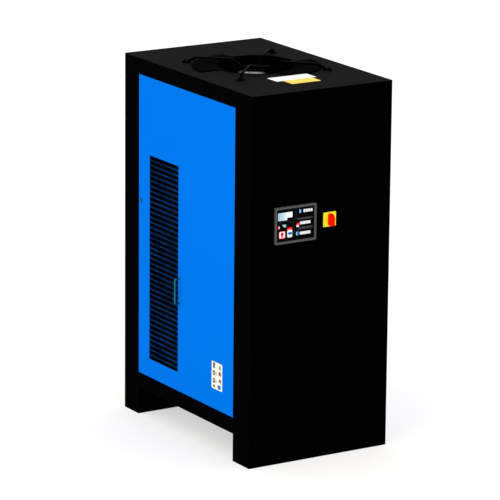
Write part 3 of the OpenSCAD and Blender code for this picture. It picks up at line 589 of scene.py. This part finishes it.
def tube(path, radius, sides=16, reference=(0, 0, 1)):
    """A round tube with flat ends: at each path point a circle square to the path. radius may vary along it."""
    path = np.asarray(path, float)
    along = np.gradient(path, axis=0)
    along /= np.linalg.norm(along, axis=1, keepdims=True)
    side = np.cross(along, reference)
    side /= np.linalg.norm(side, axis=1, keepdims=True)
    front = np.cross(side, along)
    angle = np.linspace(0, TAU, sides, endpoint=False)
    radius = np.broadcast_to(radius, len(path))[:, None, None]
    ring = np.cos(angle)[None, :, None] * side[:, None] + np.sin(angle)[None, :, None] * front[:, None]
    points = path[:, None] + radius * ring
    ends = [np.broadcast_to(path[k], (1, sides, 3)) for k in (0, -1)]
    return np.concatenate([ends[0], points, ends[1]]).reshape(-1, 3), grid_faces(len(path) + 2, sides, close=True)


def rounded_path(corners, bend, per_bend=9):
    """A path through corners whose every inner corner is cut by a parabola that starts and ends bend before it."""
    corners = np.asarray(corners, float)
    share = np.linspace(0, 1, per_bend)[:, None]
    parts = [corners[:1]]
    for before, corner, after in zip(corners[:-2], corners[1:-1], corners[2:]):
        start = corner + (before - corner) / np.linalg.norm(before - corner) * bend
        end = corner + (after - corner) / np.linalg.norm(after - corner) * bend
        parts.append((1 - share) ** 2 * start + 2 * share * (1 - share) * corner + share ** 2 * end)
    return np.concatenate(parts + [corners[-1:]])


def resample(path, count):
    """The path again with count points evenly spaced along it."""
    run = np.concatenate([[0], np.cumsum(np.linalg.norm(np.diff(path, axis=0), axis=1))])
    even = np.linspace(0, run[-1], count)
    return np.stack([np.interp(even, run, path[:, k]) for k in range(3)], 1)


# ---------------------------------------------------------------- printed shapes

def box_outline(angle, power=7.0):
    """Superellipse: the powers of |x| and |y| add up to 1, so a high power gives a rounded rectangle."""
    grow = (np.abs(np.cos(angle)) ** power + np.abs(np.sin(angle)) ** power) ** (-1 / power)
    return grow * np.cos(angle), grow * np.sin(angle)


def round_outline(angle):
    """Circle."""
    return np.cos(angle), np.sin(angle)


def drop_outline(angle):
    """Teardrop, point up: x is the sine of the angle times the square of the sine of its half, y is the cosine."""
    return 1.3 * np.sin(angle) * np.sin(angle / 2) ** 2, np.cos(angle)


def patch(outline, centre, size, facing, lift=0.00005, turn=0.0, rings=5, steps=48):
    """A printed shape on a face: the outline scaled from its middle to its rim, with a dome of ink over it.

    The height at share s of the way to the rim is lift times (2 - s squared), and the back lies flat on the face.
    facing gives the face's across and up directions, and the ink stands out towards across cross up.
    """
    across, up = (np.asarray(v, float) for v in facing)
    out = np.cross(across, up)
    x, y = outline(np.linspace(0, TAU, steps, endpoint=False))
    x, y = x * size[0] / 2, y * size[1] / 2
    x, y = x * math.cos(turn) - y * math.sin(turn), x * math.sin(turn) + y * math.cos(turn)
    share = np.concatenate([np.linspace(0, 1, rings), [1.0, 0.0]])
    height = lift * (2 - share ** 2)
    height[-2:] = 0.0
    flat = share[:, None, None] * (x[:, None] * across + y[:, None] * up)[None]
    points = np.asarray(centre, float) + flat + height[:, None, None] * out
    return points.reshape(-1, 3), grid_faces(rings + 2, steps, close=True)


def stripe(x, y, width, centre, facing, lift=0.00008):
    """A printed line along the plane curve (x, y): a ribbon of that width and of height lift, closed all round."""
    across, up = (np.asarray(v, float) for v in facing)
    out = np.cross(across, up)
    path = np.asarray(centre, float) + x[:, None] * across + y[:, None] * up
    along = np.gradient(path, axis=0)
    side = np.cross(out, along / np.linalg.norm(along, axis=1, keepdims=True)) * width / 2
    points = np.stack([path - side, path + side, path + side + lift * out, path - side + lift * out], 1)
    ends = [np.broadcast_to(path[k] + lift / 2 * out, (1, 4, 3)) for k in (0, -1)]
    return np.concatenate([ends[0], points, ends[1]]).reshape(-1, 3), grid_faces(len(path) + 2, 4, close=True)


# ---------------------------------------------------------------- camera, light and stage

def camera_basis(view):
    """Right, up and back of the camera: it looks back along its own back axis, turned by the roll."""
    ca, sa = math.cos(view.azimuth), math.sin(view.azimuth)
    ce, se = math.cos(view.elevation), math.sin(view.elevation)
    back = Vector((sa * ce, -ca * ce, se))
    right = Vector((ca, sa, 0.0))
    up = back.cross(right)
    cr, sr = math.cos(view.roll), math.sin(view.roll)
    return right * cr + up * sr, up * cr - right * sr, back


LOOK_AT = Vector((0.0, 0.0, 0.78))
ASIDE, BELOW = 0.02016, 0.00902     # how far the camera stands left of and below the line to that point


class DRYER_OT_stage(bpy.types.Operator):
    """Camera, studio light and floor."""

    bl_idname = "dryer.stage"
    bl_label = "Stage"

    def execute(self, context):
        view = context.scene.dryer_view
        right, up, back = camera_basis(view)
        place = LOOK_AT + back * view.distance - right * ASIDE - up * BELOW
        camera = bpy.data.objects.new("camera", bpy.data.cameras.new("camera"))
        camera.data.lens = view.lens
        camera.data.sensor_width = 36.0
        camera.data.clip_end = 200.0
        turn = Matrix((right, up, back)).transposed().to_4x4()
        camera.matrix_world = Matrix.Translation(place) @ turn
        context.scene.collection.objects.link(camera)
        context.scene.camera = camera
        self.light(context, view)
        self.floor(context)
        context.scene.view_settings.view_transform = "Standard"
        return {"FINISHED"}

    def light(self, context, view):
        """White surroundings and one broad soft lamp high on the left."""
        world = bpy.data.worlds.new("studio")
        world.use_nodes = True
        world.node_tree.nodes["Background"].inputs["Color"].default_value = (1, 1, 1, 1)
        world.node_tree.nodes["Background"].inputs["Strength"].default_value = view.studio
        context.scene.world = world
        lamp = bpy.data.objects.new("key_light", bpy.data.lights.new("key_light", "AREA"))
        lamp.data.energy = 60.0
        lamp.data.size = 3.0
        lamp.location = (-4.5, -3.0, 5.0)
        lamp.rotation_euler = (Vector((0, 0, 0.8)) - lamp.location).to_track_quat("-Z", "Y").to_euler()
        context.scene.collection.objects.link(lamp)

    def floor(self, context):
        """A pale plain floor, far wider than the view."""
        reach = 60.0
        mesh = bpy.data.meshes.new("floor")
        mesh.from_pydata([(-reach, -reach, 0), (reach, -reach, 0), (reach, reach, 0), (-reach, reach, 0)], [],
                         [(0, 1, 2, 3)])
        floor = bpy.data.objects.new("floor", mesh)
        pale = Finish("floor_white", Roughness=0.9, Specular_IOR_Level=0.0, Base_Color=(0.5, 0.485, 0.47, 1),
                      Emission_Color=(1, 1, 1, 1), Emission_Strength=0.57)
        mesh.materials.append(pale.material)
        context.scene.collection.objects.link(floor)


class DRYER_OT_finishes(bpy.types.Operator):
    """Gives every node of the frame its finish."""

    bl_idname = "dryer.finishes"
    bl_label = "Finishes"

    def execute(self, context):
        for make in (coat_group, wear_group, brush_group, mould_group):
            make()
        finishes = make_materials(context.scene.dryer_paints)
        for name, nodes in FINISH_OF.items():
            for node in nodes:
                NODES[node].data.materials.clear()
                NODES[node].data.materials.append(finishes[name])
        bare = sorted(set(NODES) - {n for nodes in FINISH_OF.values() for n in nodes})
        if bare:
            raise RuntimeError(f"nodes without a finish: {bare}")
        return {"FINISHED"}


FRONT = ((1, 0, 0), (0, 0, 1))      # across and up on a face that looks to -Y
LEFT = ((0, -1, 0), (0, 0, 1))      # across and up on a face that looks to -X


class DRYER_OT_controller_print(bpy.types.Operator):
    """Plain coloured marks of the controller's film: rules, lamps, signs and a gauge, with no lettering."""

    bl_idname = "dryer.controller_print"
    bl_label = "Controller marks"

    def execute(self, context):
        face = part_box("controller_overlay")[0].y

        def mark(outline, x, z, width, height, turn=0.0, layer=0):
            at = (x * MM, face - layer * INK_STEP, z * MM)
            return patch(outline, at, (width * MM, height * MM), FRONT, turn=math.radians(turn))

        def line(x, z, width):
            return stripe(np.asarray(x) * MM, np.asarray(z) * MM, width * MM, (0, face, 0), FRONT)

        t = np.linspace(0, 1, 25)
        sign_red = [mark(box_outline, -192.0, 973.5, 31, 31), mark(round_outline, -117.0, 1007.5, 15, 19),
                    mark(box_outline, -209.0, 1006.0, 8, 14), mark(box_outline, -155.5, 996.5, 25, 10)]
        pale = [mark(box_outline, -192.0, 973.5, 27, 27, layer=1), mark(box_outline, -155.5, 975.5, 24, 32),
                mark(box_outline, -118.0, 1002.5, 12, 8, layer=1), mark(box_outline, -206.5, 1005.5, 4, 9, layer=1)]
        lamps = [mark(box_outline, x, z, 9.5, 13) for x, z in ((-86, 1063), (-74.5, 1063), (-63, 1063), (-51.5, 1063))]
        groups = {
            "ink_red": sign_red + [mark(round_outline, -192.0, 977.0, 15, 14, layer=2),
                                   mark(box_outline, -192.0, 967.5, 9, 11, layer=2)],
            "ink_pale": pale + lamps,
            "ink_blue": [mark(box_outline, -105.5, 1063.0, 11, 16), mark(box_outline, -118.0, 971.5, 13, 17),
                         mark(round_outline, -154.5, 976.0, 21, 12, layer=1)],
            "ink_sky": [mark(drop_outline, -183.5, 1011.5, 14, 22, turn=68),
                        mark(box_outline, -107.0, 1063.0, 6, 12, layer=1),
                        mark(box_outline, -122.5, 971.5, 5, 14, layer=1)],
            "ink_grey": [line([-121, -46], [1033, 1033], 5), line([-121, -46], [1029, 1028.5], 1.5),
                         line([-114, -46], [993, 993.5], 6.5), line([-121, -46], [987.5, 987.5], 1.5)],
            "ink_teal": [line(-139 + 5 * np.sin(math.pi * t), 958 + 62 * t, 1.3),
                         line(-128 + 2 * np.sin(math.pi * t), 1030 + 40 * t, 1.3),
                         line(-211 + 70 * t, 1021 + 9 * np.sin(math.pi * t), 1.3)],
        }
        for ink, parts in groups.items():
            piece("controller_" + ink, join(parts), ink)
        return {"FINISHED"}


class DRYER_OT_symbol_print(bpy.types.Operator):
    """Eight small plain marks on the plate of the left panel, in two columns."""

    bl_idname = "dryer.symbol_print"
    bl_label = "Symbol plate marks"

    def execute(self, context):
        low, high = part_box("symbol_plate")
        x = low.x
        y = (low.y + high.y) / 2
        z = (low.z + high.z) / 2

        def mark(outline, across, up, width, height, layer=0):
            return patch(outline, (x - layer * INK_STEP, y - across * MM, z + up * MM), (width * MM, height * MM), LEFT)

        marks = {
            "ink_dark": [mark(box_outline, -23, 43, 17, 25), mark(box_outline, -23, 9.5, 18, 21),
                         mark(box_outline, -23, -23.5, 18, 20), mark(round_outline, -22, -47, 16, 13),
                         mark(drop_outline, 24, 43, 20, 24), mark(box_outline, 20, 14.5, 12, 18),
                         mark(box_outline, 21, -16.5, 12, 13)],
            "ink_rust": [mark(box_outline, -6, 9, 6, 15), mark(box_outline, -6, -24, 6, 14),
                         mark(box_outline, 31, 14, 8, 20), mark(box_outline, 31, -17.5, 8, 17),
                         mark(round_outline, -27, 52, 8, 6, 1)],
            "ink_pale": [mark(box_outline, -23, 8, 7, 5, 1), mark(box_outline, -23, -22, 7, 5, 1),
                         mark(round_outline, 25, 37, 6, 6, 1)],
            "ink_blue": [mark(round_outline, 19, -44, 27, 20)],
        }
        for ink, parts in marks.items():
            piece("symbols_" + ink, join(parts), ink, "left_panel")
        return {"FINISHED"}


class DRYER_PG_fan(bpy.types.PropertyGroup):
    """Shape of the fan's blades."""

    blades: bpy.props.IntProperty(name="Blades", description="Number of blades", default=5, min=2, max=9)
    root_pitch: bpy.props.FloatProperty(
        name="Root pitch", description="Setting angle at the hub", default=math.radians(36), subtype="ANGLE"
    )
    tip_pitch: bpy.props.FloatProperty(
        name="Tip pitch", description="Setting angle at the tip", default=math.radians(23), subtype="ANGLE"
    )
    sweep: bpy.props.FloatProperty(
        name="Sweep", description="How far the tip runs ahead of the root", default=math.radians(22), subtype="ANGLE"
    )
    camber: bpy.props.FloatProperty(name="Camber", description="Rise of the section over its chord", default=0.07)
    thickness: bpy.props.FloatProperty(name="Thickness", description="Thickness over chord", default=0.075)


class DRYER_OT_fan_blades(bpy.types.Operator):
    """Hub cup and swept aerofoil blades in place of the plain rotor."""

    bl_idname = "dryer.fan_blades"
    bl_label = "Fan blades"

    def execute(self, context):
        fan = context.scene.dryer_fan
        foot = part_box("fan_rotor")[0].z
        middle = foot + 0.039
        blades = [self.blade(fan, middle, TAU * i / fan.blades) for i in range(fan.blades)]
        piece("fan_rotor_blades", join(blades), "fan_black", "fan_rotor", stands_for=("fan_rotor",))
        cup = [(0.0, 0.0062), (0.046, 0.0062), (0.0498, 0.0085), (0.05, 0.0805), (0.0508, 0.082),
               (0.0588, 0.082), (0.0598, 0.0808), (0.06, 0.006), (0.0585, 0.0018), (0.055, 0.0), (0.03, 0.0),
               (0.026, 0.003), (0.0, 0.003)]
        piece("fan_rotor_cup", lathe(cup, (0, 0, foot), steps=96), "fan_black", "fan_rotor")
        shaft = [(0.0, 0.003), (0.006, 0.0035), (0.006, 0.0485), (0.0055, 0.049), (0.0, 0.049)]
        piece("fan_rotor_shaft", lathe(shaft, (0, 0, foot), steps=32), "zinc_plate", "fan_rotor")
        return {"FINISHED"}

    def blade(self, fan, middle, start):
        """One blade, from share s = 0 at the hub to 1 at the tip and once round its section.

        The section is a thin aerofoil: its half thickness over the chord is the four-digit series' square root and
        polynomial, and its mean line is a parabola of the stated camber. The chord widens to the tip, turns from the
        root pitch to the tip pitch, and its middle runs ahead by sweep times s squared; the section is wrapped on the
        cylinder of its radius.
        """
        rows, count = 15, 40
        s = np.linspace(0, 1, rows)[:, None]
        around = np.linspace(0, TAU, count, endpoint=False)[None]
        t = (1 + np.cos(around)) / 2
        series = 0.2969 * np.sqrt(t) - 0.126 * t - 0.3516 * t ** 2 + 0.2843 * t ** 3 - 0.1036 * t ** 4
        half = 5 * fan.thickness * series
        rise = 4 * fan.camber * t * (1 - t) + np.sign(np.sin(around)) * np.maximum(half, 0.004)
        chord = 0.072 + 0.034 * s - 0.014 * s ** 4
        pitch = fan.root_pitch + (fan.tip_pitch - fan.root_pitch) * s
        ahead = (t - 0.5) * chord
        height = ahead * np.sin(pitch) + rise * chord * np.cos(pitch)
        arc = ahead * np.cos(pitch) - rise * chord * np.sin(pitch)
        hub, span = 0.0585, 0.0883
        radius = hub + span * s
        angle = start + fan.sweep * s ** 2 + arc / radius
        points = np.stack(np.broadcast_arrays(radius * np.cos(angle), radius * np.sin(angle), middle + height), -1)
        caps = [np.broadcast_to(points[k].mean(axis=0), (1, count, 3)) for k in (0, -1)]
        return np.concatenate([caps[0], points, caps[1]]).reshape(-1, 3), grid_faces(rows + 2, count, close=True)


class DRYER_PG_coil(bpy.types.PropertyGroup):
    """Shape of the condenser's fins."""

    pitch: bpy.props.FloatProperty(name="Pitch", description="From one fin to the next", default=0.0034, unit="LENGTH")
    ripple: bpy.props.FloatProperty(name="Ripple", description="Height of a fin's waves", default=0.0005, unit="LENGTH")
    gauge: bpy.props.FloatProperty(name="Gauge", description="Thickness of a fin", default=0.00015, unit="LENGTH")


class DRYER_OT_condenser_fins(bpy.types.Operator):
    """Pack of thin rippled fins in place of the condenser's block."""

    bl_idname = "dryer.condenser_fins"
    bl_label = "Condenser fins"

    def execute(self, context):
        coil = context.scene.dryer_coil
        low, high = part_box("condenser_core")
        count = int((high.z - low.z - 0.004) / coil.pitch)
        fins = piece("condenser_fins", self.pack(low, high, count, coil), "coated_fins", stands_for=("condenser_core",))
        sheet = fins.modifiers.new("thickness", "SOLIDIFY")
        sheet.thickness = coil.gauge
        sheet.offset = 0.0
        x = (low.x + high.x) / 2
        pipes = [tube(np.linspace((x, low.y + 0.001, z), (x, high.y - 0.001, z), 3), 0.005, 12)
                 for z in np.arange(low.z + 0.031, high.z - 0.02, 0.042)]
        piece("condenser_tubes", join(pipes), "copper_tube")
        return {"FINISHED"}

    def pack(self, low, high, count, coil):
        """Every fin is a level sheet whose height is a sine wave across the block, folded down 1 mm at both faces."""
        waves, count_x = 5, 25
        across = np.linspace(0, 1, count_x)
        fold = np.where((across == 0) | (across == 1), -0.001, 0.0)
        wave = coil.ripple * np.sin(across * waves * TAU) + fold
        deep = np.linspace(low.y + 0.0005, high.y - 0.0005, 2)
        levels = low.z + 0.003 + np.arange(count) * coil.pitch
        z, y, i = np.meshgrid(levels, deep, np.arange(count_x), indexing="ij")
        points = np.stack([low.x + across[i] * (high.x - low.x), y, z + wave[i]], -1).reshape(-1, 3)
        one = grid_faces(2, count_x)
        faces = (one[None] + np.arange(count)[:, None, None] * 2 * count_x).reshape(-1, 4)
        return points, faces


class DRYER_OT_pipework(bpy.types.Operator):
    """Sleeve, capillary coil, conduit, flare nuts and mount bolts of the circuit inside."""

    bl_idname = "dryer.pipework"
    bl_label = "Pipework details"

    def execute(self, context):
        self.sleeve()
        self.capillary()
        self.conduit()
        self.nuts()
        return {"FINISHED"}

    def sleeve(self):
        """Foam sleeve over the suction line, with shallow rings where its lengths meet."""
        count, lengths, radius = 260, 5, 0.016
        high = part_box("suction_line")[1]
        x, y0, y1, z = high.x - 0.009, high.y - 0.009, -0.2, 0.9
        path = resample(rounded_path([(x, y0, 0.5), (x, y0, z), (x, y1, z), (0.235, y1, z)], 0.03), count)
        each = count // lengths
        joint = 1 - 0.12 * np.exp(-((np.mod(np.arange(count), each) - each // 2) / 1.4) ** 2)
        piece("suction_sleeve", tube(path, radius * joint, 20, (0.3, 0.2, 1.0)), "insulation_foam")

    def capillary(self):
        """Capillary above the filter drier: a helix of four turns that rises 40 mm, then a tail to the exchanger."""
        low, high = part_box("filter_drier")
        cx, cy = (low.x + high.x) / 2, (low.y + high.y) / 2
        turns, r = 4, 0.03
        t = np.linspace(0, turns, 200)
        helix = np.stack([cx + r * np.cos(TAU * t), cy - r + r * np.sin(TAU * t), high.z + 0.03 + 0.01 * t], 1)
        start = np.linspace((cx, cy, high.z - 0.004), (cx + r, cy - r, high.z + 0.03), 8, endpoint=False)
        tail = np.linspace(helix[-1], (cx + r, -0.06, high.z + 0.11), 40)[1:]
        piece("capillary", tube(np.concatenate([start, helix, tail]), 0.0017, 10, (0.1, 0.2, 1.0)), "copper_tube")

    def conduit(self):
        """Corrugated conduit from the terminal cover to the electrical plate; its radius is a sine wave."""
        count, per_ridge = 900, 6
        low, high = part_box("terminal_cover")
        x, y, z = (low.x + high.x) / 2, low.y + 0.012, high.z
        path = resample(rounded_path([(x, y, z - 0.004), (x, y, 0.6), (0.206, -0.02, 0.62), (0.212, -0.02, 1.2),
                                      (0.212, -0.36, 1.24)], 0.05), count)
        wave = 0.0065 + 0.0008 * np.sin(np.arange(count) * TAU / per_ridge)
        piece("supply_conduit", tube(path, wave, 12, (0.4, 0.2, 0.9)), "dark_plastic")

    def nuts(self):
        """Hexagon nuts at the drier's ends, and a bolt with its washer on each compressor mount."""
        nut = [(0.0, 0.0), (0.0115, 0.0), (0.0125, 0.001), (0.0125, 0.013), (0.0115, 0.014), (0.0, 0.014)]
        low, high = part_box("filter_drier")
        cx, cy = (low.x + high.x) / 2, (low.y + high.y) / 2
        parts = [lathe(nut, (cx, cy, z), around=hexagon) for z in (low.z + 0.001, high.z - 0.015)]
        piece("drier_nuts", join(parts), "machined_brass")
        washer = [(0.0, 0.0), (0.0135, 0.0), (0.014, 0.0005), (0.014, 0.0015), (0.0135, 0.002), (0.0, 0.002)]
        head = [(0.0, 0.002), (0.0088, 0.002), (0.0095, 0.0028), (0.0095, 0.0078), (0.0086, 0.009), (0.0, 0.0092)]
        low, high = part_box("compressor_mounts")
        bolts = []
        for x in (low.x + 0.019, high.x - 0.019):
            for y in (low.y + 0.019, high.y - 0.019):
                bolts.append(lathe(washer, (x, y, high.z + 0.0002), steps=32))
                bolts.append(lathe(head, (x, y, high.z + 0.0002), around=hexagon))
        piece("compressor_bolts", join(bolts), "zinc_plate")


class DRYER_PT_panel(bpy.types.Panel):
    """Buttons for the dryer's steps, and fields for its settings."""

    bl_idname = "DRYER_PT_panel"
    bl_label = "Air Dryer"
    bl_space_type = "VIEW_3D"
    bl_region_type = "UI"
    bl_category = "Air Dryer"

    def draw(self, context):
        for operator in OPERATORS:
            self.layout.operator(operator.bl_idname)
        for group in (context.scene.dryer_paints, context.scene.dryer_view, context.scene.dryer_fan,
                      context.scene.dryer_coil):
            for name in group.__annotations__:
                self.layout.prop(group, name)


OPERATORS = (DRYER_OT_stage, DRYER_OT_finishes, DRYER_OT_controller_print, DRYER_OT_symbol_print, DRYER_OT_fan_blades,
             DRYER_OT_condenser_fins, DRYER_OT_pipework)
GROUPS = {"dryer_paints": DRYER_PG_paints, "dryer_view": DRYER_PG_view, "dryer_fan": DRYER_PG_fan,
          "dryer_coil": DRYER_PG_coil}
CLASSES = (*GROUPS.values(), *OPERATORS, DRYER_PT_panel)


def register():
    for cls in CLASSES:
        bpy.utils.register_class(cls)
    for name, group in GROUPS.items():
        setattr(bpy.types.Scene, name, bpy.props.PointerProperty(type=group))


def unregister():
    for name in GROUPS:
        delattr(bpy.types.Scene, name)
    for cls in reversed(CLASSES):
        bpy.utils.unregister_class(cls)


def main():
    """Registers the add-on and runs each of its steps."""
    register()
    for operator in OPERATORS:
        space, name = operator.bl_idname.split(".")
        getattr(getattr(bpy.ops, space), name)()


if __name__ == "__main__":
    main()
